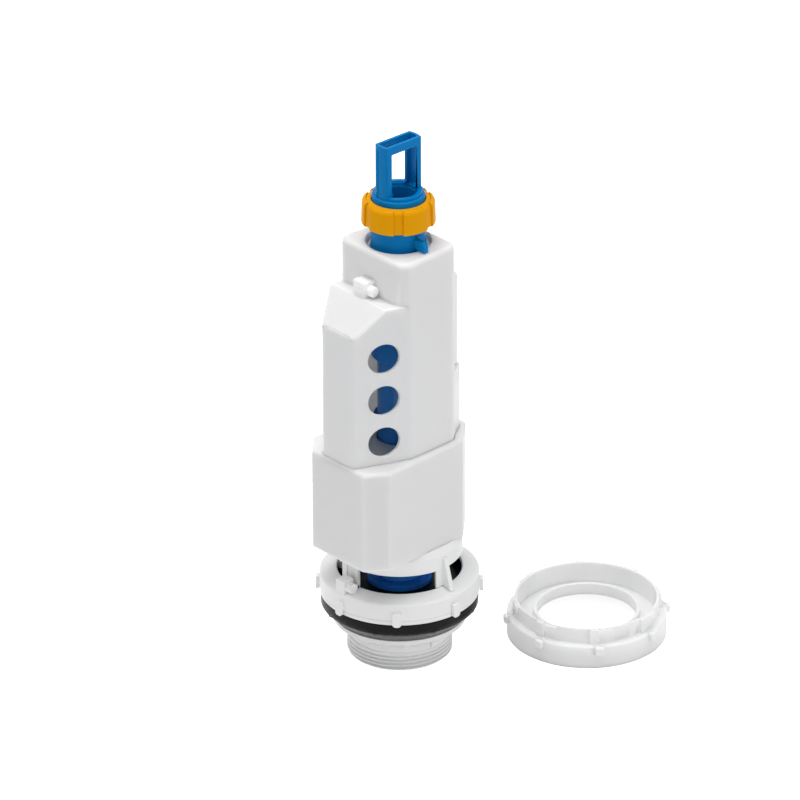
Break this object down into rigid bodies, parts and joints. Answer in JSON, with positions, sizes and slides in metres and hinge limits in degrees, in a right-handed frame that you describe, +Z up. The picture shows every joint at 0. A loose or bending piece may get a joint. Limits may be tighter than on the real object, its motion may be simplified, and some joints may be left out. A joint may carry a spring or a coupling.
{
  "type": "toilet flush valve",
  "caption": "Tower flush valve for a cistern: threaded outlet with rubber washer, caged valve seat, float cup, tall housing, height-adjustable pull tube and a loose back nut.",
  "frame": {"origin": "middle of the threaded outlet's lower end", "axes": "+Z up along the outlet and the overflow tube; the nose of the housing points to -Y and the regulator slider lies behind it at +Y"},
  "size_m": [0.1518, 0.188, 0.316],
  "materials": {
    "white_plastic": "satin moulded",
    "blue_plastic": "gloss moulded",
    "yellow_plastic": "satin moulded",
    "black_rubber": "matt rubber"
  },
  "bodies": {
    "base": {"outlet_tail": "white_plastic", "base_flange": "white_plastic", "floor_washer": "black_rubber", "seat_gasket": "black_rubber"},
    "upper_body": {"valve_cage": "white_plastic", "lower_cup": "white_plastic", "housing": "white_plastic", "latch_pin": "white_plastic"},
    "lift_tube": {"overflow_tube": "blue_plastic", "adjust_sleeve": "blue_plastic", "flush_seal": "black_rubber", "seal_clamp": "blue_plastic", "seal_nut": "blue_plastic", "stop_collar": "blue_plastic"},
    "handle": {"pull_handle": "blue_plastic", "riser_tube": "blue_plastic"},
    "clamp_nut": {"clamp_nut": "yellow_plastic"},
    "float": {"float": "white_plastic"},
    "hold_latch": {"hold_latch": "white_plastic"},
    "flow_regulator": {"flow_regulator": "white_plastic"},
    "back_nut": {"back_nut": "white_plastic"}
  },
  "joints": [
    {"name": "cage_lock", "type": "hinge", "parent": "base", "child": "upper_body", "pos_m": [0, 0, 0.05], "axis": [0, 0, 1], "range_deg": [-30, 0]},
    {"name": "valve_lift", "type": "slide", "parent": "upper_body", "child": "lift_tube", "axis": [0, 0, 1], "range_m": [0, 0.012]},
    {"name": "handle_height", "type": "slide", "parent": "lift_tube", "child": "handle", "axis": [0, 0, 1], "range_m": [0, 0.03]},
    {"name": "nut_turn", "type": "hinge", "parent": "lift_tube", "child": "clamp_nut", "pos_m": [0, 0, 0.27], "axis": [0, 0, 1], "range_deg": [0, 180]},
    {"name": "float_rise", "type": "slide", "parent": "upper_body", "child": "float", "axis": [0, 0, 1], "range_m": [0, 0.01]},
    {"name": "latch_swing", "type": "hinge", "parent": "upper_body", "child": "hold_latch", "pos_m": [0, 0.024, 0.1476], "axis": [1, 0, 0], "range_deg": [0, 5]},
    {"name": "regulator_set", "type": "slide", "parent": "upper_body", "child": "flow_regulator", "axis": [0, 0, 1], "range_m": [0, 0.015]},
    {"name": "back_nut_off", "type": "slide", "parent": "base", "child": "back_nut", "axis": [0, 0, 1], "range_m": [0, 0.03]}
  ]
}
